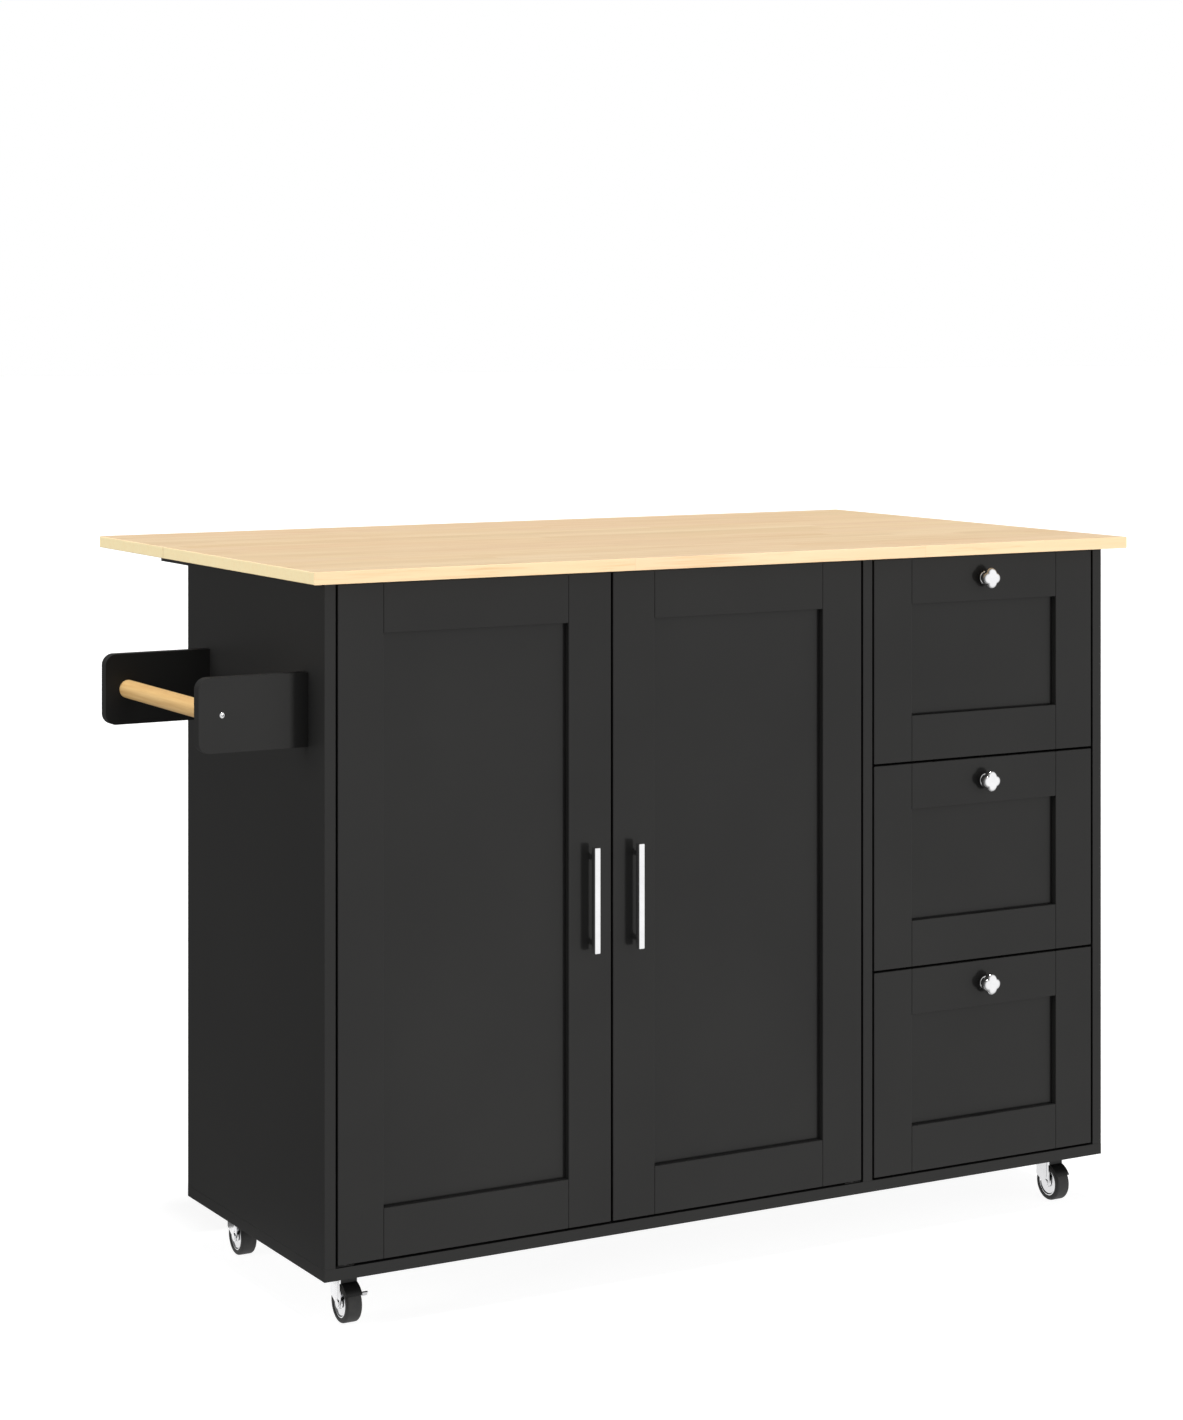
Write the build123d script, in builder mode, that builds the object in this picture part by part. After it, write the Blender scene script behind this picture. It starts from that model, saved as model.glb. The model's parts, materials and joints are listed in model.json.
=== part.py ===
from build123d import *
import os

os.makedirs("parts", exist_ok=True)

# A rolling kitchen island: a black cabinet with two doors, three drawers and a towel rack,
# under a butcher block top whose rear leaf folds down. Millimetres, +Z up.
# The front faces -Y. The origin is on the floor, under the middle of the whole object.

# ---- driving dimensions -------------------------------------------------------------
board = 15  # carcass boards
skin = 3  # thin boards: back panel and drawer bottoms
front_thickness = 18  # of every door and drawer front
relief = 9  # how far a front's strips stand before its panel
gap = 3  # clearance round every door and drawer front
strip = 63  # width of a front's stiles and rails
door_width = 390
drawer_width = 374
drawer_height = 279
cabinet_depth = 442
top_thickness = 16
top_depth = 735
overhang = 26  # of the top past the cabinet's front, sides and back
seam = 0.6  # between the fixed top and the leaf
caster_height = 65
rack_reach = 147  # how far the towel arms stand out from the cabinet's side
clearance = 0.3  # between parts that move past each other
fit = 0.05  # radial clearance of a pin in its hole
slack = 0.5  # of a loose fit, and of a hole past its screw's tip

# ---- handles and knobs --------------------------------------------------------------
bar_length = 137
bar_thickness = 9
bar_standoff = 21  # from the door's face to the bar's face
post_spacing = 110
post_radius = 4
handle_height = 440  # of the bars' middle above the cabinet's underside
bar_corner = 1.5
screw_bite = 8  # of a handle's or knob's screw past the front
knob_depth = 21
screw_radius = 2
screw_hole = 2.2
screw_head = 4

# ---- derived places -----------------------------------------------------------------
cabinet_width = 5 * gap + 3 * board + 2 * door_width + drawer_width
door_height = 3 * drawer_height + 2 * gap
cabinet_height = board + gap + door_height + gap
left = rack_reach - (rack_reach + cabinet_width + overhang) / 2
right = left + cabinet_width
front = overhang - top_depth / 2
back = front + cabinet_depth
base = caster_height
floor_top = base + board
under_top = base + cabinet_height
divider = left + board + 3 * gap + 2 * door_width
bay_left = (left + board, divider)
bay_right = (divider + board, right - board)
back_inside = back - skin
seam_y = back + overhang
leaf_edge = front - overhang + top_depth


def block(x, y, z):
    """A plain board that fills three spans, each given as (low, high)."""
    with BuildPart() as piece:
        with BuildSketch(Plane.XY.offset(z[0])):
            with Locations((sum(x) / 2, sum(y) / 2)):
                Rectangle(x[1] - x[0], y[1] - y[0])
        extrude(amount=z[1] - z[0])
    return piece.part


def save(label, *pieces):
    """Write one node, made of one piece or of several separate ones."""
    node = pieces[0] if len(pieces) == 1 else Compound([p.solid() for p in pieces])
    node.label = label
    export_step(node, f"parts/{label}.step")


# ---- carcass ------------------------------------------------------------------------
side_inset = (47, 58)  # of the casters' swivel axes from the cabinet's left and right sides
end_inset = 57  # of the swivel axes from its front and back
swivels = {
    f"{row}_{side}": (x, y)
    for row, y in (("front", front + end_inset), ("rear", back - end_inset))
    for side, x in (("left", left + side_inset[0]), ("right", right - side_inset[1]))
}
plate_size = 42
plate_screws = 30  # spacing of the screws in a caster plate
screw_depth = 12
plate_screw_head = 1.5

with BuildPart() as bottom_panel:
    with BuildSketch(Plane.XY.offset(base)):
        with Locations(((left + right) / 2, (front + back) / 2)):
            Rectangle(cabinet_width, cabinet_depth)
    extrude(amount=board)
    with BuildSketch(Plane.XY.offset(base)):
        for swivel in swivels.values():
            with Locations(swivel):
                with GridLocations(plate_screws, plate_screws, 2, 2):
                    Circle(screw_hole)
    extrude(amount=screw_depth + slack, mode=Mode.SUBTRACT)
save("bottom_panel", bottom_panel.part)

upright = (floor_top, under_top)
full_depth = (front, back)
save("left_side_panel", block((left, left + board), full_depth, upright))
save("right_side_panel", block((right - board, right), full_depth, upright))
save("divider_panel", block((divider, divider + board), (front, back_inside), upright))

# The two channels that carry the leaf run back under the top, through notches.
channel_width = 18
channel_height = 14
channel_inset = 22  # from the cabinet's side to the channel's side
channels = (left + channel_inset + channel_width / 2, right - channel_inset - channel_width / 2)
notch = (channel_width + 2, channel_height + 1)


def notched(x, y, z, middles):
    """A board with notches in its top edge where the leaf's channels pass."""
    with BuildPart() as piece:
        add(block(x, y, z))
        with BuildSketch(Plane.XY.offset(z[1])):
            for middle in middles:
                with Locations((middle, sum(y) / 2)):
                    Rectangle(notch[0], 2 * (y[1] - y[0]))
        extrude(amount=-notch[1], mode=Mode.SUBTRACT)
    return piece.part


save(
    "back_panel",
    notched((left + board, right - board), (back_inside, back), upright, channels),
)

rail = 60
door_sweep = 26  # depth behind the front that the doors' hinged edges need to turn
rail_front = front + door_sweep
flat_rail = ((rail_front, rail_front + rail), (under_top - board, under_top))
edge_rail = ((back_inside - board, back_inside), (under_top - rail, under_top))
save("front_top_rails", block(bay_left, *flat_rail), block(bay_right, *flat_rail))
save(
    "rear_top_rails",
    notched(bay_left, *edge_rail, channels[:1]),
    notched(bay_right, *edge_rail, channels[1:]),
)

shelf_height = base + 422
shelf_setback = 30
shelf_room = 1  # round the loose shelf
pin_length = 9
pin_inset = 60
shelf_pin_radius = 2.5
pin_height = shelf_height - shelf_pin_radius
save(
    "shelf",
    block(
        (bay_left[0] + shelf_room, bay_left[1] - shelf_room),
        (front + shelf_setback, back_inside - shelf_room),
        (shelf_height, shelf_height + board),
    ),
)
shelf_pins = []
for side, turn in ((bay_left[0], 1), (bay_left[1], -1)):
    for y in (front + shelf_setback + pin_inset, back_inside - pin_inset):
        plane = Plane(origin=(side, y, pin_height), x_dir=(0, 1, 0), z_dir=(turn, 0, 0))
        with BuildPart() as shelf_pin:
            with BuildSketch(plane):
                Circle(shelf_pin_radius)
            extrude(amount=pin_length)
        shelf_pins.append(shelf_pin.part)
save("shelf_pins", *shelf_pins)

# ---- butcher block top --------------------------------------------------------------
top_span = (left - overhang, right + overhang)
top_level = (under_top, under_top + top_thickness)
save("worktop", block(top_span, (front - overhang, seam_y - seam / 2), top_level))
save("worktop_leaf", block(top_span, (seam_y + seam / 2, leaf_edge), top_level))

# ---- folding brackets that carry the leaf --------------------------------------------
# Each is two pressed channels, open below, on one cross pin under the seam.
sheet = 1.5
arm_length = 126
web_start = 8  # the webs stop short of the pivot, so that the arms can fold
pivot_z = under_top - channel_height / 2
cheek_round = channel_height / 2 - slack
pivot_radius = 2.5
pivot_head = 4
inner_width = channel_width - 2 * sheet - 2 * slack


def channel(middle, width, turn):
    """A folded steel arm that leaves the pivot along +Y or, with turn -1, along -Y."""
    with BuildPart() as piece:
        for side in (-1, 1):
            edge = (middle + side * width / 2, seam_y, pivot_z)
            with BuildSketch(Plane(origin=edge, x_dir=(0, 1, 0), z_dir=(-side, 0, 0))):
                Circle(cheek_round)
                with Locations((turn * arm_length / 2, 0)):
                    Rectangle(arm_length, 2 * cheek_round)
                Circle(pivot_radius + fit, mode=Mode.SUBTRACT)
            extrude(amount=sheet)
        with BuildSketch(Plane.XY.offset(under_top)):
            with Locations((middle, seam_y + turn * (arm_length + web_start) / 2)):
                Rectangle(width, arm_length - web_start)
        extrude(amount=-sheet)
    return piece.part


def pivot_pin(middle):
    """A headed pin through both arms of one bracket."""
    half = channel_width / 2 + clearance
    with BuildPart() as piece:
        with BuildSketch(Plane.YZ.offset(middle - half)):
            with Locations((seam_y, pivot_z)):
                Circle(pivot_radius)
        extrude(amount=2 * half)
        for side in (-1, 1):
            with BuildSketch(Plane.YZ.offset(middle + side * half)):
                with Locations((seam_y, pivot_z)):
                    Circle(pivot_head)
            extrude(amount=side)
    return piece.part


save("leaf_bracket_arms", *[channel(middle, channel_width, 1) for middle in channels])
save("fixed_bracket_arms", *[channel(middle, inner_width, -1) for middle in channels])
save("bracket_pivot_pins", *[pivot_pin(middle) for middle in channels])

# ---- towel rack -----------------------------------------------------------------------
arm_setback = 48  # of the front arm behind the cabinet's front
bar_span = 302  # between the arms
arm_height = 93
arm_bottom = base + 656
arm_corner = 15
dowel_radius = 12
dowel_x = left - 116
dowel_z = arm_bottom + arm_height / 2


def towel_arm(y):
    """A board with two rounded corners at its free end; y is its front face."""
    with BuildPart() as arm:
        with BuildSketch(Plane.XZ.offset(-y)):
            with Locations((left - rack_reach / 2, dowel_z)):
                outline = Rectangle(rack_reach, arm_height)
            fillet(outline.vertices().group_by(Axis.X)[0], arm_corner)
        extrude(amount=-board)
        with BuildSketch(Plane.XZ.offset(-y)):
            with Locations((dowel_x, dowel_z)):
                Circle(screw_hole)
        extrude(amount=-board, mode=Mode.SUBTRACT)
    return arm.part


def screw(seat, length, radius=screw_radius, head_radius=screw_head, head=2):
    """A screw whose head stands on a plane; its shank runs back along the normal."""
    with BuildPart() as piece:
        with BuildSketch(seat):
            Circle(head_radius)
        extrude(amount=head)
        with BuildSketch(seat):
            Circle(radius)
        extrude(amount=-length)
    return piece.part


front_arm_y = front + arm_setback
rear_arm_y = front_arm_y + board + bar_span
pilot = 25  # depth of the screws in the dowel's ends
save("towel_arm_front", towel_arm(front_arm_y))
save("towel_arm_rear", towel_arm(rear_arm_y))

with BuildPart() as towel_bar:
    with BuildSketch(Plane.XZ.offset(-front_arm_y - board)):
        with Locations((dowel_x, dowel_z)):
            Circle(dowel_radius)
    extrude(amount=-bar_span)
    with BuildSketch(Plane.XZ.offset(-front_arm_y - board)):
        with Locations((dowel_x, dowel_z)):
            Circle(screw_hole)
    extrude(amount=-pilot, mode=Mode.SUBTRACT)
    with BuildSketch(Plane.XZ.offset(-rear_arm_y)):
        with Locations((dowel_x, dowel_z)):
            Circle(screw_hole)
    extrude(amount=pilot, mode=Mode.SUBTRACT)
save("towel_bar", towel_bar.part)

front_seat = Plane(origin=(dowel_x, front_arm_y, dowel_z), x_dir=(1, 0, 0), z_dir=(0, -1, 0))
rear_seat = Plane(
    origin=(dowel_x, rear_arm_y + board, dowel_z), x_dir=(1, 0, 0), z_dir=(0, 1, 0)
)
bar_screw_length = board + pilot - 1
save("towel_bar_screws", *[screw(seat, bar_screw_length) for seat in (front_seat, rear_seat)])

# ---- doors ----------------------------------------------------------------------------
# Each door turns on two pins, at its outer bottom and top corners, so that no hinge shows.
pivot_inset = (12, 7)  # of the pins from the door's outer edge and from its face
pin_radius = 3
pin_plate = (24, 14, 1.2)
plate_setback = 4  # of the plate's middle behind the pin
pin_reach = 12  # of a pin past its plate
bush_radius = 4.8
bush_length = 14
door_z = (floor_top + gap, under_top - gap)


def front_strips(x, z):
    """The four strips that frame a recessed front: two stiles with two rails between."""
    face = (front, front + relief)
    inner = (x[0] + strip, x[1] - strip)
    return [
        block((x[0], inner[0]), face, z),
        block((inner[1], x[1]), face, z),
        block(inner, face, (z[1] - strip, z[1])),
        block(inner, face, (z[0], z[0] + strip)),
    ]


def drilled(piece, holes, depth, radius):
    """A piece with round holes, each given by the plane of its mouth, facing out."""
    with BuildPart() as result:
        add(piece)
        for mouth in holes:
            with BuildSketch(mouth):
                Circle(radius)
            extrude(amount=-depth, mode=Mode.SUBTRACT)
    return result.part


def facing(x, y, z, direction):
    """A plane at a point, with its normal along a direction."""
    across = (1, 0, 0) if direction[0] == 0 else (0, 1, 0)
    return Plane(origin=(x, y, z), x_dir=across, z_dir=direction)


def bar_handle(x):
    """A square bar on two posts, and its two screws through the door."""
    face = front - bar_standoff
    with BuildPart() as bar:
        with BuildSketch(facing(x, face, handle_height + base, (0, -1, 0))):
            Rectangle(bar_thickness, bar_length)
        extrude(amount=-bar_thickness)
        fillet(bar.edges(), bar_corner)
        with BuildSketch(facing(x, front, handle_height + base, (0, -1, 0))):
            with GridLocations(0, post_spacing, 1, 2):
                Circle(post_radius)
        extrude(until=Until.NEXT)
        with BuildSketch(facing(x, front, handle_height + base, (0, -1, 0))):
            with GridLocations(0, post_spacing, 1, 2):
                Circle(screw_hole)
        extrude(amount=screw_bite + 2, mode=Mode.SUBTRACT)
    seats = [
        facing(x, front + front_thickness, base + handle_height + side * post_spacing / 2, (0, 1, 0))
        for side in (-1, 1)
    ]
    return [bar.part] + [screw(seat, front_thickness + screw_bite) for seat in seats]


def bush(x, z, turn):
    """A plain bush for a door pin, let into the stile's end from z towards turn."""
    mouth = facing(x, front + pivot_inset[1], z, (0, 0, -turn))
    with BuildPart() as piece:
        with BuildSketch(mouth):
            Circle(bush_radius)
            Circle(pin_radius + fit, mode=Mode.SUBTRACT)
        extrude(amount=-bush_length)
    return piece.part


def door_pin(x, z, turn):
    """A pin on its screwed plate; the plate lies on z and the pin stands towards turn."""
    seat = facing(x, front + pivot_inset[1], z, (0, 0, turn))
    with BuildPart() as piece:
        with BuildSketch(seat):
            with Locations((0, turn * plate_setback)):
                Rectangle(pin_plate[0], pin_plate[1])
        extrude(amount=pin_plate[2])
        with BuildSketch(seat):
            Circle(pin_radius)
        extrude(amount=pin_plate[2] + pin_reach)
    return piece.part


door_pins = []
left_door = (left + board + gap, left + board + gap + door_width)
right_door = (left_door[1] + gap, left_door[1] + gap + door_width)
doors = {
    "left_door": (left_door, left_door[0] + pivot_inset[0], left_door[1] - strip / 2),
    "right_door": (right_door, right_door[1] - pivot_inset[0], right_door[0] + strip / 2),
}
for name, (x, hinge_x, handle_x) in doors.items():
    screw_heights = [base + handle_height + side * post_spacing / 2 for side in (-1, 1)]
    bush_mouths = [
        facing(hinge_x, front + pivot_inset[1], z, (0, 0, turn))
        for z, turn in zip(door_z, (-1, 1))
    ]
    screw_mouths = [facing(handle_x, front, z, (0, -1, 0)) for z in screw_heights]
    strips = front_strips(x, door_z)
    hinge_stile, handle_stile = (0, 1) if name == "left_door" else (1, 0)
    strips[hinge_stile] = drilled(strips[hinge_stile], bush_mouths, bush_length, bush_radius + fit)
    strips[handle_stile] = drilled(strips[handle_stile], screw_mouths, relief, screw_hole)
    panel = block(x, (front + relief, front + front_thickness), door_z)
    panel = drilled(panel, bush_mouths, bush_length, bush_radius + fit)
    save(f"{name}_frame", *strips)
    save(f"{name}_panel", drilled(panel, screw_mouths, front_thickness, screw_hole))
    save(f"{name}_handle", *bar_handle(handle_x))
    save(f"{name}_bushes", bush(hinge_x, door_z[0], 1), bush(hinge_x, door_z[1], -1))
    door_pins += [door_pin(hinge_x, floor_top, 1), door_pin(hinge_x, under_top, -1)]
save("door_pivot_pins", *door_pins)

catch_size = (45, 20, 14)
catch_y = front + front_thickness + clearance
save(
    "door_catches",
    *[
        block(
            (middle - catch_size[0] / 2, middle + catch_size[0] / 2),
            (catch_y, catch_y + catch_size[1]),
            (flat_rail[1][0] - catch_size[2], flat_rail[1][0]),
        )
        for middle in (left_door[1] - strip / 2, right_door[0] + strip / 2)
    ],
)

# ---- drawers --------------------------------------------------------------------------
wall = 12
box_depth = 380
box_height = 200
box_lift = 22  # of the box above the front's lower edge
bottom_lift = 10  # of the drawer's bottom above the walls' lower edge
runner = (6.2, 350, 45)  # thickness, length and height of each runner member
runner_lift = 60
runner_setback = 22
box_x = tuple(
    side + turn * (2 * runner[0] + clearance) for side, turn in zip(bay_right, (1, -1))
)
box_y = (front + front_thickness, front + front_thickness + box_depth)
drawer_x = (divider + board + gap, right - board - gap)


def runner_pair(z, start):
    """The two members on a drawer's sides, or on the carcass, at their distance in."""
    pieces = []
    for side, turn in zip(bay_right, (1, -1)):
        faces = sorted((side + turn * start, side + turn * (start + runner[0])))
        length = (front + runner_setback, front + runner_setback + runner[1])
        pieces.append(block(faces, length, (z, z + runner[2])))
    return pieces


def knob(x, z):
    """A four-lobed knob on a round foot, and its screw through the front."""
    foot = 9.5
    foot_height = 2.5
    neck = 5.5
    lobe = 8.7
    lobe_ring = 6.3
    head_height = 11.5
    rounding = 3
    with BuildPart() as piece:
        with BuildSketch(facing(x, front, z, (0, -1, 0))):
            Circle(foot)
        extrude(amount=foot_height)
        with BuildSketch(facing(x, front, z, (0, -1, 0))):
            Circle(neck)
        extrude(amount=knob_depth - 1)
        with BuildSketch(facing(x, front - knob_depth + head_height, z, (0, -1, 0))):
            with PolarLocations(lobe_ring, 4):
                Circle(lobe)
        extrude(amount=head_height)
        fillet(piece.faces().sort_by(Axis.Y)[0].edges(), rounding)
        with BuildSketch(facing(x, front, z, (0, -1, 0))):
            Circle(screw_hole)
        extrude(amount=screw_bite + 2, mode=Mode.SUBTRACT)
    seat = facing(x, front + front_thickness, z, (0, 1, 0))
    return [piece.part, screw(seat, front_thickness + screw_bite)]


fixed_runners = []
for number in range(3):
    name = ("lower", "middle", "upper")[number] + "_drawer"
    low = door_z[0] + number * (drawer_height + gap)
    z = (low, low + drawer_height)
    middle = sum(drawer_x) / 2
    knob_mouth = [facing(middle, front, z[1] - strip / 2, (0, -1, 0))]
    strips = front_strips(drawer_x, z)
    strips[2] = drilled(strips[2], knob_mouth, relief, screw_hole)
    backing = block(drawer_x, (front + relief, front + front_thickness), z)
    wall_z = (low + box_lift, low + box_lift + box_height)
    inside_x = (box_x[0] + wall, box_x[1] - wall)
    inside_y = (box_y[0] + wall, box_y[1] - wall)
    bottom_z = wall_z[0] + bottom_lift
    save(f"{name}_front", *strips, drilled(backing, knob_mouth, front_thickness, screw_hole))
    save(
        f"{name}_box",
        block((box_x[0], inside_x[0]), box_y, wall_z),
        block((inside_x[1], box_x[1]), box_y, wall_z),
        block(inside_x, (box_y[0], inside_y[0]), wall_z),
        block(inside_x, (inside_y[1], box_y[1]), wall_z),
    )
    save(f"{name}_bottom", block(inside_x, inside_y, (bottom_z, bottom_z + skin)))
    save(f"{name}_knob", *knob(middle, z[1] - strip / 2))
    save(f"{name}_runners", *runner_pair(low + runner_lift, runner[0] + clearance))
    fixed_runners += runner_pair(low + runner_lift, 0)
save("fixed_runners", *fixed_runners)

# ---- casters --------------------------------------------------------------------------
# Heights in this section are above the floor; x and y are those of the swivel axis.
wheel_radius = 25
hub_radius = 18.5
hub_width = 20
tyre_width = 21.5
tyre_shoulder = 3.5
trail = 21  # the axle stands this far from the swivel axis, towards the front
axle_radius = 2.5
axle_head = 4.5
fork_inside = 22.5
fork_sheet = 1.6
fork_rear = 0.5
fork_front = 27
fork_foot = 7  # half of a leg's width at the axle
fork_taper = 25  # from the crown down to where the legs start to narrow
crown_top = 58
crown_sheet = 2
crown_radius = fork_inside / 2 + fork_sheet
rib = (-16.5, 43.5, 13, 26, 0.6)  # a leg's pressed rib: place, height, width, length, depth
plate_sheet = 2
boss_radius = 11
king_radius = 3.5
king_head = 6
brake_pivot = (-8, 47)
brake_tip = (-28, 34)
brake_sheet = 1.5
brake_gap = 1.4  # between the fork and the lever, past the axle's head
brake_radius = 2
tab = (6, 9)


def caster_plate(x, y):
    """The screwed plate, with the boss and the riveted king pin that hold the fork."""
    with BuildPart() as piece:
        with BuildSketch(Plane.XY.offset(caster_height)):
            with Locations((x, y)):
                Rectangle(plate_size, plate_size)
                with GridLocations(plate_screws, plate_screws, 2, 2):
                    Circle(screw_hole, mode=Mode.SUBTRACT)
        extrude(amount=-plate_sheet)
        with BuildSketch(Plane.XZ.offset(-y)):
            with BuildLine():
                crown_low = crown_top - crown_sheet
                Polyline(
                    (x, caster_height - plate_sheet),
                    (x + boss_radius, caster_height - plate_sheet),
                    (x + boss_radius, crown_top + clearance),
                    (x + king_radius, crown_top + clearance),
                    (x + king_radius, crown_low - clearance),
                    (x + king_head, crown_low - clearance),
                    (x + king_head, crown_low - clearance - plate_sheet),
                    (x, crown_low - clearance - plate_sheet),
                    close=True,
                )
            make_face()
        revolve(axis=Axis((x, y, 0), (0, 0, 1)))
    return piece.part


def plate_screw_set(x, y):
    """The four wood screws of one plate."""
    screws = []
    for dx in (-plate_screws / 2, plate_screws / 2):
        for dy in (-plate_screws / 2, plate_screws / 2):
            seat = facing(x + dx, y + dy, caster_height - plate_sheet, (0, 0, -1))
            screws.append(screw(seat, screw_depth + plate_sheet, head=plate_screw_head))
    return screws


def fork(x, y):
    """A pressed fork: a crown that turns on the king pin, and two legs to the axle."""
    with BuildPart() as piece:
        with BuildSketch(Plane.XY.offset(crown_top)):
            with Locations((x, y)):
                Circle(crown_radius)
                with Locations((0, -fork_front / 2)):
                    Rectangle(2 * crown_radius, fork_front)
                Circle(king_radius + fit, mode=Mode.SUBTRACT)
        extrude(amount=-crown_sheet)
        for leg_x in (x - crown_radius, x + fork_inside / 2):
            with BuildSketch(Plane.YZ.offset(leg_x)):
                with BuildLine():
                    Polyline(
                        (y + fork_rear, crown_top),
                        (y - fork_front, crown_top),
                        (y - trail - fork_foot, wheel_radius),
                        (y - trail + fork_foot, wheel_radius),
                        (y + fork_rear, crown_top - fork_taper),
                        close=True,
                    )
                make_face()
                with Locations((y - trail, wheel_radius)):
                    Circle(fork_foot)
                    Circle(axle_radius + fit, mode=Mode.SUBTRACT)
            extrude(amount=fork_sheet)
        for side in (-1, 1):
            with BuildSketch(Plane.YZ.offset(x + side * crown_radius)):
                with Locations((y + rib[0], rib[1])):
                    RectangleRounded(rib[2], rib[3], 3)
            extrude(amount=side * rib[4])
    return piece.part


def axle(x, y):
    """A riveted axle with a head outside each leg of the fork."""
    half = crown_radius + 2 * fit
    with BuildPart() as piece:
        with BuildSketch(Plane.YZ.offset(x - half)):
            with Locations((y - trail, wheel_radius)):
                Circle(axle_radius)
        extrude(amount=2 * half)
        for side in (-1, 1):
            with BuildSketch(Plane.YZ.offset(x + side * half)):
                with Locations((y - trail, wheel_radius)):
                    Circle(axle_head)
            extrude(amount=side)
    return piece.part


def wheel(x, y):
    """The wheel's core: a rim, a dished disc and a bored hub, as (radius, half width)."""
    profile = (
        (axle_radius + fit, 10.5),
        (6, 10.5),
        (7, 9),
        (15.5, 8.6),
        (17, hub_width / 2),
        (hub_radius, hub_width / 2),
    )
    outline = [*profile, *[(r, -half) for r, half in reversed(profile)]]
    with BuildPart() as piece:
        with BuildSketch(Plane.XY.offset(wheel_radius)):
            with BuildLine():
                Polyline(*[(x + half, y - trail + r) for r, half in outline], close=True)
            make_face()
        revolve(axis=Axis((x, y - trail, wheel_radius), (1, 0, 0)))
    return piece.part


def tyre(x, y):
    """A soft ring on the wheel, with rounded shoulders."""
    with BuildPart() as piece:
        with BuildSketch(Plane.XY.offset(wheel_radius)):
            with Locations((x, y - trail + (hub_radius + wheel_radius) / 2)):
                ring = Rectangle(tyre_width, wheel_radius - hub_radius)
            fillet(ring.vertices().group_by(Axis.Y)[-1], tyre_shoulder)
        revolve(axis=Axis((x, y - trail, wheel_radius), (1, 0, 0)))
    return piece.part


def brake_pin(x, y):
    """The stud on the fork's right leg that the brake lever turns on."""
    with BuildPart() as piece:
        with BuildSketch(Plane.YZ.offset(x + crown_radius)):
            with Locations((y + brake_pivot[0], brake_pivot[1])):
                Circle(brake_radius)
        extrude(amount=brake_gap + brake_sheet + clearance)
        with BuildSketch(Plane.YZ.offset(x + crown_radius + brake_gap + brake_sheet + clearance)):
            with Locations((y + brake_pivot[0], brake_pivot[1])):
                Circle(2 * brake_radius)
        extrude(amount=1)
    return piece.part


def brake_lever(x, y):
    """A flat lever beside the fork with a tab that the foot presses down."""
    rise = brake_tip[1] - brake_pivot[1]
    run = brake_tip[0] - brake_pivot[0]
    length = (run**2 + rise**2) ** 0.5
    inner_face = x + crown_radius + brake_gap
    along = Plane(
        origin=(inner_face, y + brake_pivot[0], brake_pivot[1]),
        x_dir=(0, run, rise),
        z_dir=(1, 0, 0),
    )
    with BuildPart() as piece:
        with BuildSketch(along):
            with Locations((length / 2, 0)):
                SlotCenterToCenter(length, 6)
            Circle(brake_radius + fit, mode=Mode.SUBTRACT)
        extrude(amount=brake_sheet)
        with BuildSketch(along):
            with Locations((length, 0)):
                Rectangle(2, tab[0])
        extrude(amount=brake_sheet + tab[1])
    return piece.part


plates = []
plate_screw_list = []
for name, (x, y) in swivels.items():
    plates.append(caster_plate(x, y))
    plate_screw_list += plate_screw_set(x, y)
    braked = name in ("front_left", "rear_right")
    save(f"{name}_fork", fork(x, y), axle(x, y), *([brake_pin(x, y)] if braked else []))
    save(f"{name}_wheel", wheel(x, y))
    save(f"{name}_tyre", tyre(x, y))
    if braked:
        save(f"{name}_brake", brake_lever(x, y))
save("caster_plates", *plates)
save("caster_screws", *plate_screw_list)
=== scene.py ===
"""The looks of a rolling kitchen island with a butcher block top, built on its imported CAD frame.

Lengths are in metres, in the frame's own axes: +Z is up and the doors and drawers face -Y.
"""

import json
import math

import bmesh
import bpy
from mathutils import Matrix, Vector


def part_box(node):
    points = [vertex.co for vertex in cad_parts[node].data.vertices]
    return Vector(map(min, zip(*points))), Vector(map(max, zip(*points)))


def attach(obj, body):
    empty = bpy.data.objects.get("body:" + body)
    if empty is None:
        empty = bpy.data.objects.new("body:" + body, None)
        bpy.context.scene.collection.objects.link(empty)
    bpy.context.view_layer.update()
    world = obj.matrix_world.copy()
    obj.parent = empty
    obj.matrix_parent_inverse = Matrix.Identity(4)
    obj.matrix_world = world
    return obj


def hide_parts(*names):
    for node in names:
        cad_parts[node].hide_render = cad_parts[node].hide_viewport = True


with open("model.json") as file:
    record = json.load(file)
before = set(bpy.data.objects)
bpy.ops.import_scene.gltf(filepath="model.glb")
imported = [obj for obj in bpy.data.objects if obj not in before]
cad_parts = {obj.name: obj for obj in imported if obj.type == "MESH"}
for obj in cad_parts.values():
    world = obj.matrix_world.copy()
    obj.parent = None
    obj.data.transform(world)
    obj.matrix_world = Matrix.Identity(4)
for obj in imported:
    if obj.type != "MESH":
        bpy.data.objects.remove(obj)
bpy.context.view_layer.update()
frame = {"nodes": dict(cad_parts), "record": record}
nodes = frame["nodes"]

DRAWERS = ("lower", "middle", "upper")
CASTERS = ("front_left", "front_right", "rear_left", "rear_right")


# ---- node helpers ---------------------------------------------------------------------


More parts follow.
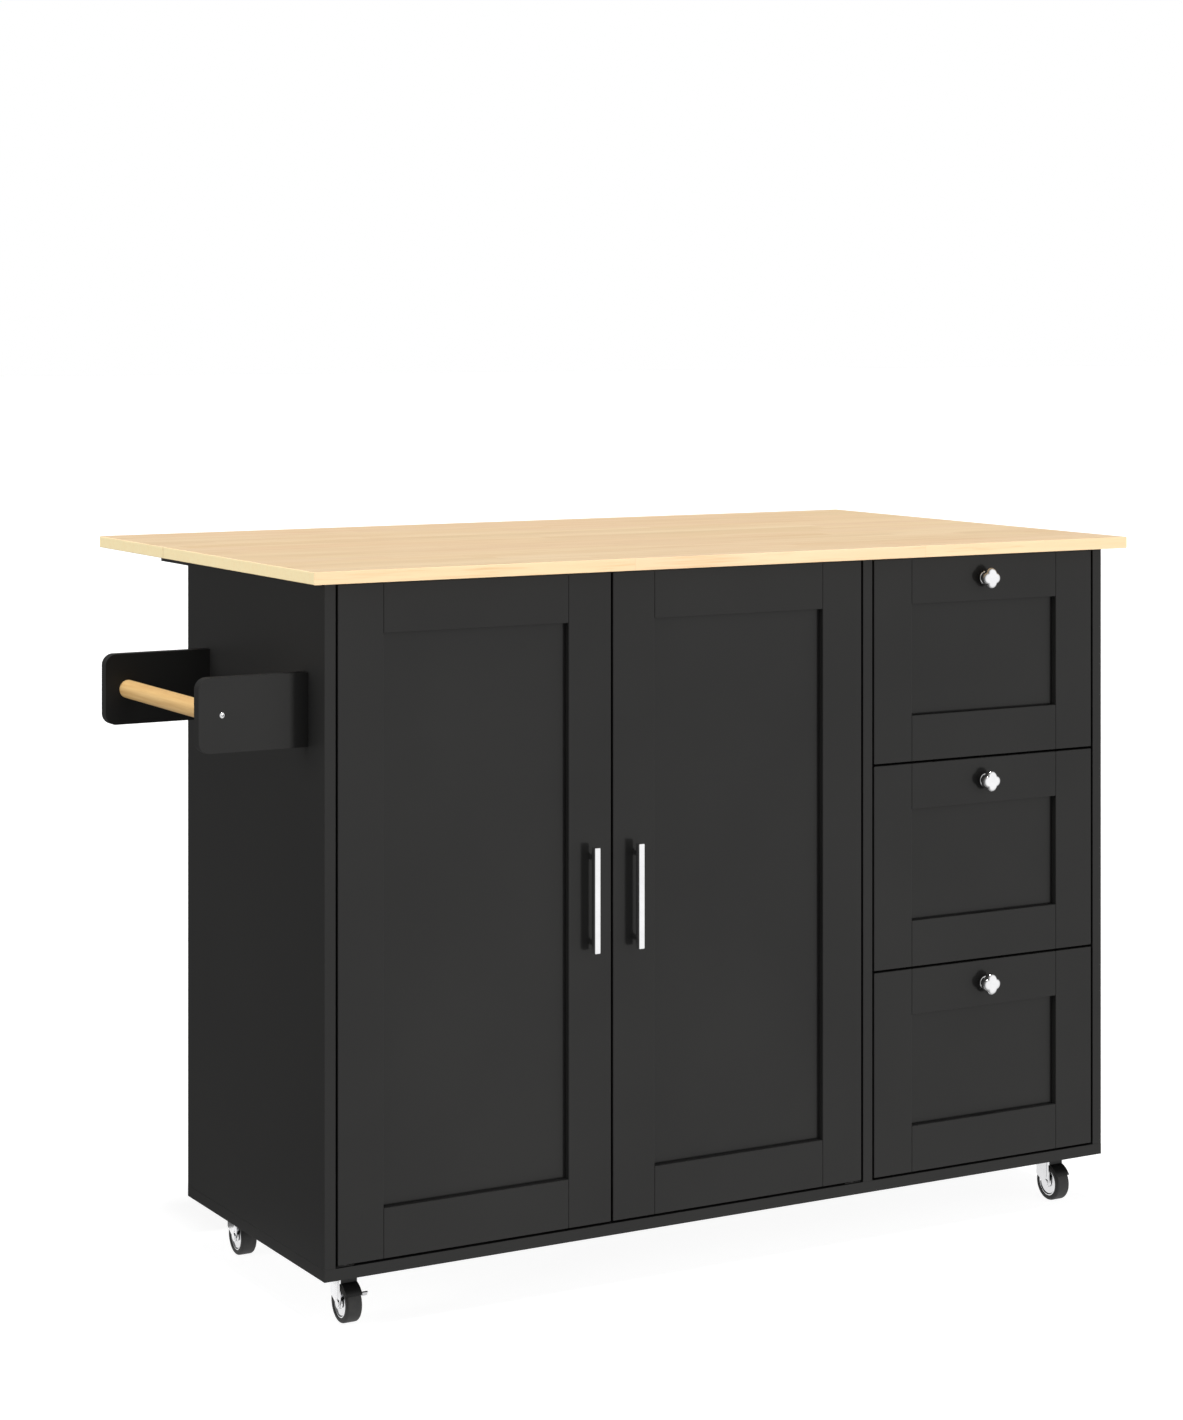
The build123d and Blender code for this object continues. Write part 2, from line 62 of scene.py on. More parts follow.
class Shader:
    """A material's node tree, with short calls for the nodes that it is made of."""

    def __init__(self, name):
        self.material = bpy.data.materials.new(name)
        self.material.use_nodes = True
        self.tree = self.material.node_tree
        self.surface = self.tree.nodes["Principled BSDF"]

    def node(self, kind, inputs=None, **settings):
        made = self.tree.nodes.new(kind)
        for key, value in settings.items():
            setattr(made, key, value)
        for key, value in (inputs or {}).items():
            self.feed(made.inputs[key], value)
        return made

    def feed(self, socket, value):
        if isinstance(value, bpy.types.NodeSocket):
            self.tree.links.new(value, socket)
        else:
            socket.default_value = value

    def math(self, operation, a, b=0.0):
        made = self.node("ShaderNodeMath", operation=operation)
        self.feed(made.inputs[0], a)
        self.feed(made.inputs[1], b)
        return made.outputs[0]

    def vector(self, x, y, z):
        return self.node("ShaderNodeCombineXYZ", {"X": x, "Y": y, "Z": z}).outputs[0]

    def add(self, a, b):
        made = self.node("ShaderNodeVectorMath", operation="ADD")
        self.feed(made.inputs[0], a)
        self.feed(made.inputs[1], b)
        return made.outputs[0]

    def scale(self, a, factor):
        made = self.node("ShaderNodeVectorMath", {"Scale": factor}, operation="SCALE")
        self.feed(made.inputs[0], a)
        return made.outputs[0]

    def place(self):
        """The object's own coordinates, whole and as x, y and z."""
        point = self.node("ShaderNodeTexCoord").outputs["Object"]
        parts = self.node("ShaderNodeSeparateXYZ", {"Vector": point})
        return point, parts.outputs[0], parts.outputs[1], parts.outputs[2]

    def stretched(self, factors):
        """The object's own coordinates, each times its factor."""
        made = self.node("ShaderNodeVectorMath", operation="MULTIPLY")
        self.feed(made.inputs[0], self.node("ShaderNodeTexCoord").outputs["Object"])
        self.feed(made.inputs[1], factors)
        return made.outputs[0]

    def faces(self, axis):
        """1 on the faces that look along the object's axis, either way, and 0 on the others."""
        normal = self.node("ShaderNodeTexCoord").outputs["Normal"]
        part = self.node("ShaderNodeSeparateXYZ", {"Vector": normal}).outputs[axis]
        return self.span(self.math("ABSOLUTE", part), 0.6, 0.9)

    def noise(self, vector, scale, detail=3.0, roughness=0.5):
        inputs = {"Vector": vector, "Scale": scale, "Detail": detail, "Roughness": roughness}
        return self.node("ShaderNodeTexNoise", inputs).outputs["Fac"]

    def span(self, value, low, high, to_low=0.0, to_high=1.0):
        inputs = {"Value": value, "From Min": low, "From Max": high, "To Min": to_low, "To Max": to_high}
        return self.node("ShaderNodeMapRange", inputs).outputs[0]

    def mix(self, factor, a, b, blend="MIX"):
        made = self.node("ShaderNodeMix", data_type="RGBA", blend_type=blend)
        self.feed(made.inputs["Factor"], factor)
        self.feed(made.inputs[6], a)
        self.feed(made.inputs[7], b)
        return made.outputs[2]

    def ramp(self, factor, stops):
        made = self.node("ShaderNodeValToRGB", {"Fac": factor})
        elements = made.color_ramp.elements
        while len(elements) < len(stops):
            elements.new(0.5)
        for element, (position, colour) in zip(elements, stops):
            element.position = position
            element.color = colour
        return made.outputs["Color"]

    def bump(self, height, strength, distance=0.001):
        inputs = {"Height": height, "Strength": strength, "Distance": distance}
        self.feed(self.surface.inputs["Normal"], self.node("ShaderNodeBump", inputs).outputs[0])

    def set(self, **values):
        for key, value in values.items():
            self.feed(self.surface.inputs[key.replace("_", " ")], value)
        return self.material


def rgb(red, green, blue):
    """A colour given as it looks on screen, 0 to 255, made linear."""
    def linear(value):
        value /= 255
        return value / 12.92 if value <= 0.04045 else ((value + 0.055) / 1.055) ** 2.4
    return (linear(red), linear(green), linear(blue), 1.0)


# ---- materials ------------------------------------------------------------------------


def butcher_block():
    """Pale staves glued side by side along X, each with its own tone and grain; the ends are painted
    lighter (painted light) and the long edges a little darker (painted shade).
    """
    s = Shader("butcher_block")
    stave, piece = 0.042, 0.46
    _, x, y, _ = s.place()
    row_place = s.math("DIVIDE", y, stave)
    row = s.math("FLOOR", row_place)
    row_noise = s.node("ShaderNodeTexWhiteNoise", {"W": row}, noise_dimensions="1D").outputs["Value"]
    run = s.math("ADD", s.math("DIVIDE", x, piece), s.math("MULTIPLY", row_noise, 7.0))
    cell = s.math("FLOOR", run)
    cell_noise = s.node("ShaderNodeTexWhiteNoise", {"Vector": s.vector(cell, row, 0.0)})
    own, shift = cell_noise.outputs["Value"], s.scale(cell_noise.outputs["Color"], 9.0)
    bands = s.noise(s.add(s.stretched((2.2, 30.0, 42.0)), shift), 1.0, 4.0, 0.55)
    flecks = s.noise(s.add(s.stretched((7.0, 170.0, 170.0)), shift), 1.0, 3.0, 0.6)
    fibres = s.noise(s.stretched((16.0, 700.0, 700.0)), 1.0, 2.0, 0.6)
    blush = s.noise(s.stretched((2.5, 5.0, 5.0)), 1.0, 2.0, 0.5)
    tone = s.ramp(own, [
        (0.0, rgb(228, 201, 161)),
        (0.4, rgb(234, 208, 169)),
        (0.7, rgb(237, 212, 174)),
        (1.0, rgb(231, 203, 167)),
    ])
    tone = s.mix(s.span(blush, 0.4, 0.65, 0.0, 0.5), tone, rgb(233, 200, 164))
    grained = s.mix(s.span(bands, 0.42, 0.72, 0.0, 0.35), tone, rgb(218, 182, 136))
    grained = s.mix(s.span(flecks, 0.52, 0.72, 0.0, 0.55), grained, rgb(206, 166, 118))
    grained = s.mix(s.span(fibres, 0.5, 0.8, 0.0, 0.14), grained, rgb(214, 176, 132))
    across = s.math("ABSOLUTE", s.math("SUBTRACT", s.math("FRACT", row_place), 0.5))
    along = s.math("ABSOLUTE", s.math("SUBTRACT", s.math("FRACT", run), 0.5))
    glue = s.math("MAXIMUM", s.span(across, 0.493, 0.499), s.span(along, 0.4985, 0.4998))
    colour = s.mix(s.math("MULTIPLY", glue, 0.22), grained, rgb(190, 150, 106))
    # Painted by facing: faces along Y (the long edges) are painted a little darker, as painted shade;
    # faces along X (the ends) lighter and yellower, as painted light.
    long_edge, end = s.faces("Y"), s.faces("X")
    colour = s.mix(long_edge, colour, s.mix(1.0, colour, rgb(244, 242, 238), "MULTIPLY"))
    painted_light_end_tone = s.mix(s.span(flecks, 0.4, 0.75, 0.0, 0.5), rgb(255, 237, 190), rgb(253, 227, 174))
    colour = s.mix(end, colour, painted_light_end_tone)
    s.bump(s.math("SUBTRACT", s.math("MULTIPLY", flecks, 0.35), glue), 0.2, 0.0002)
    return s.set(Base_Color=colour, Roughness=s.span(bands, 0.3, 0.8, 0.4, 0.52), IOR=1.45)


def dowel_wood():
    """Plain straight-grained wood along Y."""
    s = Shader("dowel_wood")
    streak = s.stretched((190.0, 7.0, 190.0))
    bands = s.noise(streak, 1.0, 4.0, 0.6)
    pores = s.noise(streak, 3.5, 2.0, 0.5)
    colour = s.ramp(bands, [
        (0.25, rgb(198, 156, 100)),
        (0.5, rgb(212, 174, 116)),
        (0.75, rgb(224, 188, 130)),
    ])
    colour = s.mix(s.span(pores, 0.58, 0.75, 0.0, 0.35), colour, rgb(196, 146, 86))
    s.bump(pores, 0.2, 0.0002)
    return s.set(Base_Color=colour, Roughness=0.45)


def black_paint():
    """Satin black lacquer on board, with a faint roller texture."""
    s = Shader("black_paint")
    point, *_ = s.place()
    cloud = s.noise(point, 5.0, 3.0, 0.5)
    peel = s.noise(point, 420.0, 2.0, 0.5)
    colour = s.ramp(cloud, [(0.3, (0.0198, 0.0196, 0.0192, 1.0)), (0.7, (0.0222, 0.022, 0.0214, 1.0))])
    s.bump(peel, 0.05, 0.0002)
    return s.set(Base_Color=colour, Roughness=s.span(cloud, 0.3, 0.7, 0.42, 0.48), Specular_IOR_Level=0.08)


def laminate():
    """Dark melamine of the drawer boxes, with a fine print of wood grain."""
    s = Shader("drawer_laminate")
    grain = s.noise(s.stretched((8.0, 8.0, 260.0)), 1.0, 4.0, 0.6)
    colour = s.ramp(grain, [(0.3, rgb(52, 51, 50)), (0.7, rgb(66, 64, 62))])
    s.bump(grain, 0.1, 0.0002)
    return s.set(Base_Color=colour, Roughness=0.5)


def hardboard():
    """The thin back panel: matt, with the speckle of pressed fibre."""
    s = Shader("hardboard")
    point, *_ = s.place()
    speckle = s.noise(point, 900.0, 2.0, 0.6)
    colour = s.ramp(speckle, [(0.35, rgb(30, 29, 28)), (0.7, rgb(44, 42, 41))])
    s.bump(speckle, 0.2, 0.0003)
    return s.set(Base_Color=colour, Roughness=0.7)


def metal(name, colour, roughness, grain=0.0):
    """A bare or plated metal; grain draws fine scratches in its roughness."""
    s = Shader(name)
    point, *_ = s.place()
    smudge = s.noise(point, 60.0, 3.0, 0.5)
    scratch = s.noise(s.stretched((90.0, 90.0, 1800.0)), 1.0, 2.0)
    scratches = s.math("MULTIPLY", s.math("SUBTRACT", scratch, 0.5), grain)
    spread = s.math("ADD", s.span(smudge, 0.3, 0.7, -0.02, 0.03), scratches)
    shade = s.mix(s.span(smudge, 0.3, 0.7, 0.0, 1.0), colour, tuple(0.93 * c for c in colour[:3]) + (1.0,))
    return s.set(Base_Color=shade, Metallic=1.0, Roughness=s.math("ADD", spread, roughness))


def powder_coat():
    """Black powder coat on the folding brackets and the doors' pivot pins."""
    s = Shader("powder_coat")
    point, *_ = s.place()
    grit = s.noise(point, 1500.0, 2.0, 0.5)
    s.bump(grit, 0.25, 0.0002)
    colour = s.ramp(grit, [(0.3, rgb(28, 27, 26)), (0.7, rgb(38, 36, 35))])
    return s.set(Base_Color=colour, Roughness=0.5)


def rubber():
    """Black tyre rubber, matt and slightly dusty."""
    s = Shader("tyre_rubber")
    point, *_ = s.place()
    dust = s.noise(point, 130.0, 4.0, 0.6)
    colour = s.ramp(dust, [(0.35, rgb(20, 20, 20)), (0.75, rgb(32, 31, 30))])
    s.bump(dust, 0.12, 0.0003)
    return s.set(Base_Color=colour, Roughness=0.62)


def moulded_plastic():
    """Dark moulded plastic of the door catches; also on the dark sheets over the wheels, which stand in
    for the shade over the tyres (painted shade).
    """
    s = Shader("catch_plastic")
    point, *_ = s.place()
    grit = s.noise(point, 700.0, 2.0, 0.5)
    s.bump(grit, 0.1, 0.0002)
    colour = s.ramp(grit, [(0.3, rgb(13, 13, 13)), (0.7, rgb(20, 20, 20))])
    return s.set(Base_Color=colour, Roughness=0.4, Specular_IOR_Level=0.25)


def floor_paint():
    """The plain pale studio floor."""
    s = Shader("studio_floor")
    point, *_ = s.place()
    cloud = s.noise(point, 0.6, 2.0, 0.5)
    colour = s.ramp(cloud, [(0.3, (0.34, 0.34, 0.34, 1.0)), (0.7, (0.36, 0.36, 0.36, 1.0))])
    s.set(Emission_Color=(1.0, 1.0, 1.0, 1.0), Emission_Strength=0.86)
    return s.set(Base_Color=colour, Roughness=0.9)


MATERIALS = {
    "butcher_block": butcher_block(),
    "dowel_wood": dowel_wood(),
    "black_board": black_paint(),
    "drawer_board": laminate(),
    "thin_board": hardboard(),
    "chrome": metal("chrome", (0.86, 0.86, 0.87, 1.0), 0.12),
    "zinc_steel": metal("zinc_steel", (0.62, 0.62, 0.63, 1.0), 0.34, 0.15),
    "brass": metal("brass", (0.78, 0.58, 0.28, 1.0), 0.3, 0.1),
    "black_metal": powder_coat(),
    "catch_plastic": moulded_plastic(),
    "tyre": rubber(),
}


def wear(piece, slot):
    """Give a piece the material of one of the record's slots."""
    piece.data.materials.clear()
    piece.data.materials.append(MATERIALS[slot])
    return piece


for entry in frame["record"]["subparts"]:
    wear(nodes[entry["node"]], entry["material_slot"])


# ---- edges of the CAD boards ----------------------------------------------------------


def soften(name, width, segments=3):
    """Round the sharp edges of a CAD board by modifiers; its mesh stays as it is."""
    piece = nodes[name]
    normals = piece.data.attributes.get("custom_normal")
    if normals:
        piece.data.attributes.remove(normals)
    piece.data.shade_smooth()
    weld = piece.modifiers.new("weld", "WELD")
    weld.merge_threshold = 0.00001
    bevel = piece.modifiers.new("bevel", "BEVEL")
    bevel.width = width
    bevel.segments = segments
    bevel.limit_method = "ANGLE"
    bevel.angle_limit = math.radians(35)
    bevel.harden_normals = True


for name in ("worktop", "worktop_leaf"):
    soften(name, 0.0012)
for name in ("bottom_panel", "left_side_panel", "right_side_panel", "divider_panel", "shelf"):
    soften(name, 0.0004, 2)
for name in ("towel_arm_front", "towel_arm_rear"):
    soften(name, 0.001)
soften("towel_bar", 0.0006)


# ---- new pieces -----------------------------------------------------------------------


def piece_from(mesh_builder, name, body, slot, *replaced):
    """A new object from a bmesh, riding on a body and standing for CAD nodes."""
    mesh = bpy.data.meshes.new(name)
    mesh_builder.normal_update()
    mesh_builder.to_mesh(mesh)
    mesh_builder.free()
    piece = bpy.data.objects.new(name, mesh)
    bpy.context.scene.collection.objects.link(piece)
    wear(piece, slot)
    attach(piece, body)
    if replaced:
        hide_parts(*replaced)
    return piece


def add_board(bm, low, high, edge=0.0006):
    """A board between two corners with slightly rounded edges."""
    low, high = Vector(low), Vector(high)
    centre, size = (low + high) / 2, high - low
    matrix = Matrix.Translation(centre) @ Matrix.Diagonal((*size, 1.0))
    made = bmesh.ops.create_cube(bm, size=1.0, matrix=matrix)
    edges = list({e for v in made["verts"] for e in v.link_edges})
    bmesh.ops.bevel(bm, geom=edges, offset=edge, segments=2, profile=0.5, affect="EDGES")


def lathe(bm, profile, base, axis, lobes=None, around=64):
    """Turn a profile of (distance along the axis, radius) points about an axis.

    lobes(radius, angle) gives the factor that the radius grows by at an angle.
    """
    axis = Vector(axis).normalized()
    reference = Vector((1, 0, 0)) if abs(axis.z) > 0.5 else Vector((0, 0, 1))
    across = axis.cross(reference).normalized()
    side = axis.cross(across)
    rings = []
    for along, radius in profile:
        ring = []
        for i in range(around):
            angle = 2 * math.pi * i / around
            grown = radius * (lobes(radius, angle) if lobes else 1.0)
            offset = (across * math.cos(angle) + side * math.sin(angle)) * grown
            ring.append(bm.verts.new(Vector(base) + axis * along + offset))
        rings.append(ring)
    for lower, upper in zip(rings, rings[1:]):
        for i in range(around):
            j = (i + 1) % around
            bm.faces.new((lower[i], lower[j], upper[j], upper[i])).smooth = True
    bm.faces.new(list(reversed(rings[0])))
    bm.faces.new(rings[-1])


def arc(centre, radius, start, stop, steps):
    """Points of a circular arc about a centre, with its angles in degrees."""
    for i in range(steps + 1):
        angle = math.radians(start + (stop - start) * i / steps)
        yield (centre[0] + radius * math.cos(angle), centre[1] + radius * math.sin(angle))


def extrude_outline(bm, outline, start, stop):
    """A solid along X from an outline given as (y, z) points."""
    ends = [[bm.verts.new((x, y, z)) for y, z in outline] for x in (start, stop)]
    count = len(outline)
    for i in range(count):
        j = (i + 1) % count
        bm.faces.new((ends[0][i], ends[0][j], ends[1][j], ends[1][i]))
    bm.faces.new(ends[0][::-1])
    bm.faces.new(ends[1])
    bmesh.ops.recalc_face_normals(bm, faces=bm.faces)


def mm(*values):
    """Millimetres as metres."""
    return tuple(value / 1000 for value in values)


def add_screw(bm, seat, axis, shank, head_radius=0.004, head_height=0.002):
    """A pan head screw: its head stands on the seat along the axis, its shank runs back."""
    rim = 0.3 * head_height
    tip = [(-shank, 0.0006), (-shank + 0.002, 0.0016), (-0.0005, 0.0016)]
    head = [(0.0, head_radius), (rim, head_radius)]
    dome = [(head_height * math.sin(a), head_radius * math.cos(a)) for a in (0.5, 0.8, 1.1, 1.35)]
    drive = [(head_height, 0.0011), (0.4 * head_height, 0.0008), (0.4 * head_height, 0.0001)]
    lathe(bm, tip + head + dome + drive, seat, axis, around=32)


# ---- fronts of the doors and drawers --------------------------------------------------

STRIP = 0.063  # width of a front's stiles and rails
RELIEF = 0.009  # how far a front's strips stand before its panel
HAIRLINE = 0.001  # rounding of the strips' edges, which draws their joints
BACKING_EDGE = 0.0003  # rounding of the panel behind a drawer's strips


def framed_front(name, body, low, high, *replaced):
    """Two stiles with two rails between; the hairlines where they meet stay visible."""
    bm = bmesh.new()
    left, right = low.x + STRIP, high.x - STRIP
    add_board(bm, low, (left, high.y, high.z), HAIRLINE)
    add_board(bm, (right, low.y, low.z), high, HAIRLINE)
    add_board(bm, (left, low.y, high.z - STRIP), (right, high.y, high.z), HAIRLINE)
    add_board(bm, (left, low.y, low.z), (right, high.y, low.z + STRIP), HAIRLINE)
    return piece_from(bm, name, body, "black_board", *replaced)


for side in ("left", "right"):
    low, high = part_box(f"{side}_door_frame")
    framed_front(f"{side}_door_strips", f"{side}_door", low, high, f"{side}_door_frame")
for drawer in DRAWERS:
    low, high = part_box(f"{drawer}_drawer_front")
    body = f"{drawer}_drawer"
    face = Vector((high.x, low.y + RELIEF, high.z))
    framed_front(f"{drawer}_drawer_strips", body, low, face, f"{drawer}_drawer_front")
    bm = bmesh.new()
    add_board(bm, (low.x, low.y + RELIEF, low.z), high, BACKING_EDGE)
    piece_from(bm, f"{drawer}_drawer_backing", body, "black_board")


# ---- knobs ----------------------------------------------------------------------------

FRONT = 0.018  # thickness of a drawer's front
LOBE_RING = 0.42  # of the head's radius: how far the middles of its four lobes stand out
NECK = 0.006  # radius up to which a knob stays round; its lobes are full at twice that
KNOB_SCREW = FRONT + 0.006  # length of a knob's screw, through the front into the knob
OUT = Vector((0, -1, 0))


def knob_lobe(radius, angle):
    """The head's outline is four round lobes; its middle and the neck stay round."""
    turn = (angle + math.pi / 4) % (math.pi / 2) - math.pi / 4
    lobe = 1.0 - LOBE_RING
    outline = LOBE_RING * math.cos(turn) + math.sqrt(lobe**2 - (LOBE_RING * math.sin(turn)) ** 2)
    share = min(max((radius - NECK) / NECK, 0.0), 1.0)
    return 1.0 + share * (outline - 1.0)


def knob(drawer):
    """A cast knob: a round foot, a waisted neck and a lobed head with a domed middle."""
    node = f"{drawer}_drawer_knob"
    low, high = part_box(node)
    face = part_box(f"{drawer}_drawer_front")[0].y
    centre = Vector(((low.x + high.x) / 2, face, (low.z + high.z) / 2))
    depth = 1000 * (face - low.y)
    bm = bmesh.new()
    foot = [(0, 9.5), (1.1, 9.5), (1.7, 9.2), (2.1, 8.6), (2.3, 7.9), (2.4, 6.8), (3.2, 5.9)]
    lathe(bm, [mm(*point) for point in foot + [(4.5, 5.4), (6.6, 5.3)]], centre, OUT)
    under = [(6.5, 5.3), (7.2, 6.6), (7.9, 9.2), (8.8, 11.9), (9.9, 13.7), (11.2, 14.7), (12.8, 15)]
    rim = [(15, 14.9), (16.6, 14.4), (17.9, 13.5), (18.9, 12.2), (19.6, 10.6)]
    dome = [(20.1, 8.8), (20.5, 6.6), (20.8, 4), (depth, 1.2)]
    lathe(bm, [mm(*point) for point in under + rim + dome], centre, OUT, lobes=knob_lobe, around=128)
    add_screw(bm, centre - FRONT * OUT, -OUT, KNOB_SCREW)
    piece_from(bm, f"{drawer}_drawer_pull", f"{drawer}_drawer", "chrome", node)


for drawer in DRAWERS:
    knob(drawer)


# ---- screws of the towel bar ----------------------------------------------------------

BAR_SCREW = 0.036  # length of the screws in the bar's ends

bm = bmesh.new()
low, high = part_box("towel_bar_screws")
for arm, side in (("towel_arm_front", -1), ("towel_arm_rear", 1)):
    arm_low, arm_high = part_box(arm)
    seat_y = arm_low.y if side < 0 else arm_high.y
    seat = Vector(((low.x + high.x) / 2, seat_y, (low.z + high.z) / 2))
    add_screw(bm, seat, (0, side, 0), BAR_SCREW)
piece_from(bm, "towel_bar_fixings", "root", "chrome", "towel_bar_screws")


# ---- dark sheets over the caster wheels, painted shade over the tyres -----------------

TYRE_SHADE = 0.0008  # thickness of the dark arc over the tyre, which stands in for its shade (painted shade)
TYRE_SHADE_GAP = 0.0006  # between the tyre and the dark arc
TYRE_SHADE_SIDE = 0.0004  # of the dark arc past each side of the tyre
TYRE_SHADE_WALL = 0.0012  # thickness of the dark wall above the arc
WALL_SETBACK = 0.0045  # of the wall's back from the axle
WALL_SINK = 0.001  # of the wall's foot into the arc
WALL_EDGE = 0.0002  # rounding of the wall's edges
CROWN = 0.002  # thickness of the fork's crown


def add_tyre_shade(caster):
    """A dark sheet between the fork's legs that stands in for the shade over the tyre (painted shade): a
    thin arc close over the tyre and a wall up to the crown.
    """
    low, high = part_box(f"{caster}_tyre")
    axle = (low + high) / 2
    inner = (high.z - low.z) / 2 + TYRE_SHADE_GAP
    outer = inner + TYRE_SHADE
    half = (high.x - low.x) / 2 + TYRE_SHADE_SIDE
    middle = (axle.y, axle.z)
    tyre_shade_arc = [*arc(middle, outer, 40, 150, 24), *arc(middle, inner, 150, 40, 24)]
    wall_back = axle.y - WALL_SETBACK
    wall_foot = axle.z + outer - WALL_SINK
    wall_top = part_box(f"{caster}_fork")[1].z - CROWN
    wall_low = (axle.x - half, wall_back - TYRE_SHADE_WALL, wall_foot)
    bm = bmesh.new()
    extrude_outline(bm, tyre_shade_arc, axle.x - half, axle.x + half)
    add_board(bm, wall_low, (axle.x + half, wall_back, wall_top), WALL_EDGE)
    # The dark sheet is painted shade: it darkens the tyre's top and the fork's inside, where shade falls.
    piece_from(bm, f"{caster}_tyre_shade", f"{caster}_swivel", "catch_plastic")


for caster in CASTERS:
    add_tyre_shade(caster)


# ---- boxes of the drawers -------------------------------------------------------------

BOX_WALL = 0.012  # thickness of a drawer box's walls
BOX_EDGE = 0.0005  # rounding of their edges


def drawer_walls(drawer):
    """The four walls of a drawer's box, front and back set between the sides."""
    node = f"{drawer}_drawer_box"
    low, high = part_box(node)
    inner_low, inner_high = low.x + BOX_WALL, high.x - BOX_WALL
    bm = bmesh.new()
    add_board(bm, low, (inner_low, high.y, high.z), BOX_EDGE)
    add_board(bm, (inner_high, low.y, low.z), high, BOX_EDGE)
    add_board(bm, (inner_low, low.y, low.z), (inner_high, low.y + BOX_WALL, high.z), BOX_EDGE)
    add_board(bm, (inner_low, high.y - BOX_WALL, low.z), (inner_high, high.y, high.z), BOX_EDGE)
    piece_from(bm, f"{drawer}_drawer_walls", f"{drawer}_drawer", "drawer_board", node)


for drawer in DRAWERS:
    drawer_walls(drawer)


# ---- the camera -----------------------------------------------------------------------

# It stands 3.9 m from the bottom's front left corner and looks level, a little to the
# right of that corner; the shift lowers the frame.
CAMERA_FROM_CORNER = Vector((-1.6197, -3.5209, 1.190))
CAMERA_HEADING = -29.58
camera_data = bpy.data.cameras.new("camera")
camera_data.sensor_fit = "AUTO"
camera_data.sensor_width = 36.0
camera_data.lens = 79.33
camera_data.shift_y = -0.2755
camera_data.clip_end = 100.0
camera = bpy.data.objects.new("camera", camera_data)
camera.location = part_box("bottom_panel")[0] + CAMERA_FROM_CORNER
camera.rotation_euler = (math.radians(90), 0, math.radians(CAMERA_HEADING))
bpy.context.scene.collection.objects.link(camera)
bpy.context.scene.camera = camera


# ---- the studio -----------------------------------------------------------------------

FLOOR_REACH = 60.0  # from the middle of the floor to its sides
PATCH_MARGIN = 0.04  # of the mirrored floor past the cabinet
PATCH_RISE = 0.0005  # of the mirrored floor above the real one


def floor():
    """A wide pale floor that glows a little, so that shadows on it stay faint.

    Only the camera sees it: the key light rises from below the horizon and passes through it.
    """
    bm = bmesh.new()
    bmesh.ops.create_grid(bm, x_segments=1, y_segments=1, size=FLOOR_REACH)
    mesh = bpy.data.meshes.new("floor")
    bm.to_mesh(mesh)
    bm.free()
    mesh.materials.append(floor_paint())
    plane = bpy.data.objects.new("floor", mesh)
    plane.visible_glossy = False
    plane.visible_diffuse = False
    plane.visible_shadow = False
    bpy.context.scene.collection.objects.link(plane)


def sun(name, towards, strength, spread, glossy=True):
    """A distant light that shines from a direction; spread is its size in degrees."""
    light = bpy.data.lights.new(name, "SUN")
    light.energy = strength
    light.angle = math.radians(spread)
    lamp = bpy.data.objects.new(name, light)
    lamp.rotation_euler = Vector(towards).to_track_quat("Z", "Y").to_euler()
    lamp.visible_glossy = glossy
    bpy.context.scene.collection.objects.link(lamp)


def heading(degrees, rise=0.0):
    """A direction given by its turn from the front, to the right, and its rise."""
    turn, climb = math.radians(degrees), math.radians(rise)
    return Vector((math.sin(turn) * math.cos(climb), -math.cos(turn) * math.cos(climb), math.sin(climb)))


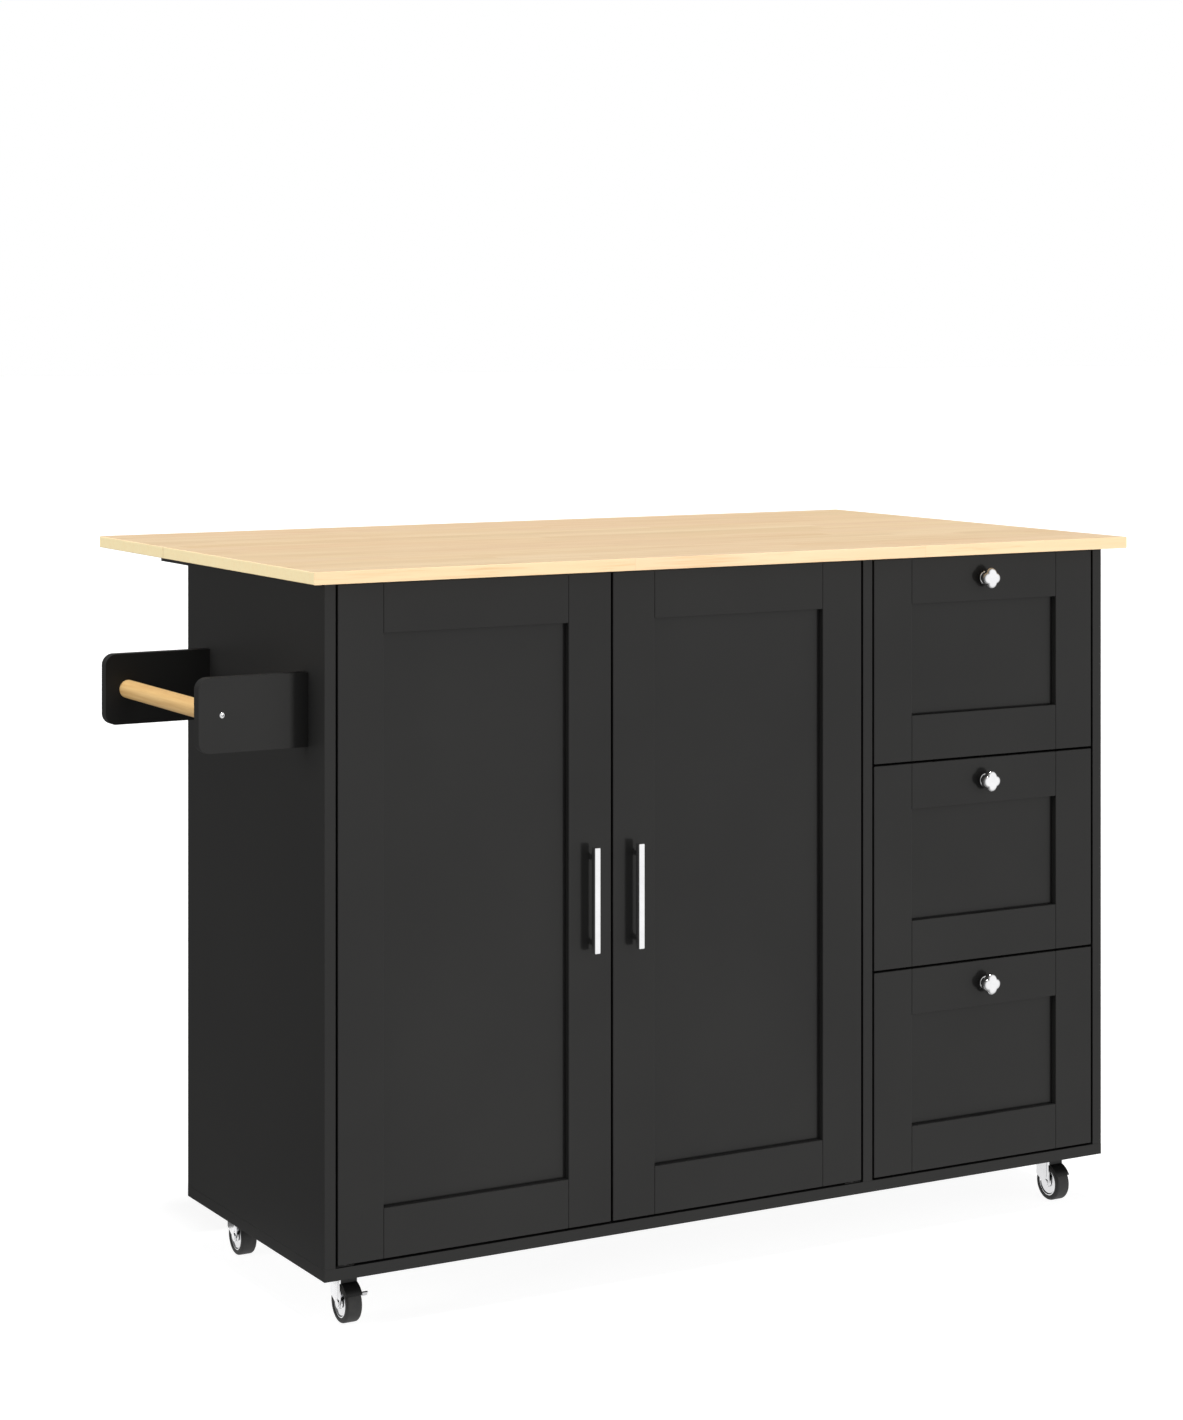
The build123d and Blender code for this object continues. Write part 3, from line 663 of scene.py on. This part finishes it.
def studio_world():
    """White behind the object; round it, light that is brightest at the front right.

    What the object mirrors falls off less than the light that it gets: the studio's pale walls.
    """
    world = bpy.data.worlds.new("studio")
    world.use_nodes = True
    tree = world.node_tree
    make, join = tree.nodes.new, tree.links.new
    direction = make("ShaderNodeTexCoord").outputs["Generated"]
    ray = make("ShaderNodeLightPath").outputs
    facing_key = make("ShaderNodeVectorMath")
    facing_key.operation = "DOT_PRODUCT"
    facing_key.inputs[1].default_value = heading(24)
    join(direction, facing_key.inputs[0])

    def lobe(start, end, low, high):
        """Strength that rises from low to high as a direction nears the brightest one."""
        node = make("ShaderNodeMapRange")
        node.interpolation_type = "SMOOTHSTEP"
        for socket, value in (("From Min", start), ("From Max", end), ("To Min", low), ("To Max", high)):
            node.inputs[socket].default_value = value
        join(facing_key.outputs["Value"], node.inputs["Value"])
        return node.outputs["Result"]

    def either(factor, no, yes):
        """One strength for most rays, another for those that the factor marks."""
        node = make("ShaderNodeMix")
        for socket, source in (("Factor", factor), ("A", no), ("B", yes)):
            if isinstance(source, float):
                node.inputs[socket].default_value = source
            else:
                join(source, node.inputs[socket])
        return node.outputs["Result"]

    lit = either(ray["Is Glossy Ray"], lobe(0.5, 0.97, 0.14, 1.1), lobe(0.0, 0.9, 0.16, 1.1))
    join(either(ray["Is Camera Ray"], lit, 1.0), tree.nodes["Background"].inputs["Strength"])
    tree.nodes["Background"].inputs["Color"].default_value = (1.0, 1.0, 1.0, 1.0)
    bpy.context.scene.world = world


def floor_patch():
    """The part of the floor by the casters, for their chrome to mirror; nothing else sees it."""
    bm = bmesh.new()
    low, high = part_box("bottom_panel")
    centre = ((low.x + high.x) / 2, (low.y + high.y) / 2, PATCH_RISE)
    size = (high.x - low.x + 2 * PATCH_MARGIN, high.y - low.y + 2 * PATCH_MARGIN, 1.0, 1.0)
    matrix = Matrix.Translation(centre) @ Matrix.Diagonal(size)
    bmesh.ops.create_grid(bm, x_segments=1, y_segments=1, size=0.5, matrix=matrix)
    mesh = bpy.data.meshes.new("floor_patch")
    bm.to_mesh(mesh)
    bm.free()
    mesh.materials.append(bpy.data.materials["studio_floor"])
    patch = bpy.data.objects.new("floor_patch", mesh)
    for ray in ("camera", "diffuse", "shadow", "transmission"):
        setattr(patch, f"visible_{ray}", False)
    bpy.context.scene.collection.objects.link(patch)


floor()
floor_patch()
sun("key", heading(25, -12), 3.2, 9.0, glossy=False)
sun("left_fill", heading(-92, 6), 2.4, 30.0, glossy=False)
sun("overhead", (0.0, 0.0, 1.0), 3.0, 12.0)
studio_world()
bpy.context.scene.view_settings.view_transform = "Standard"
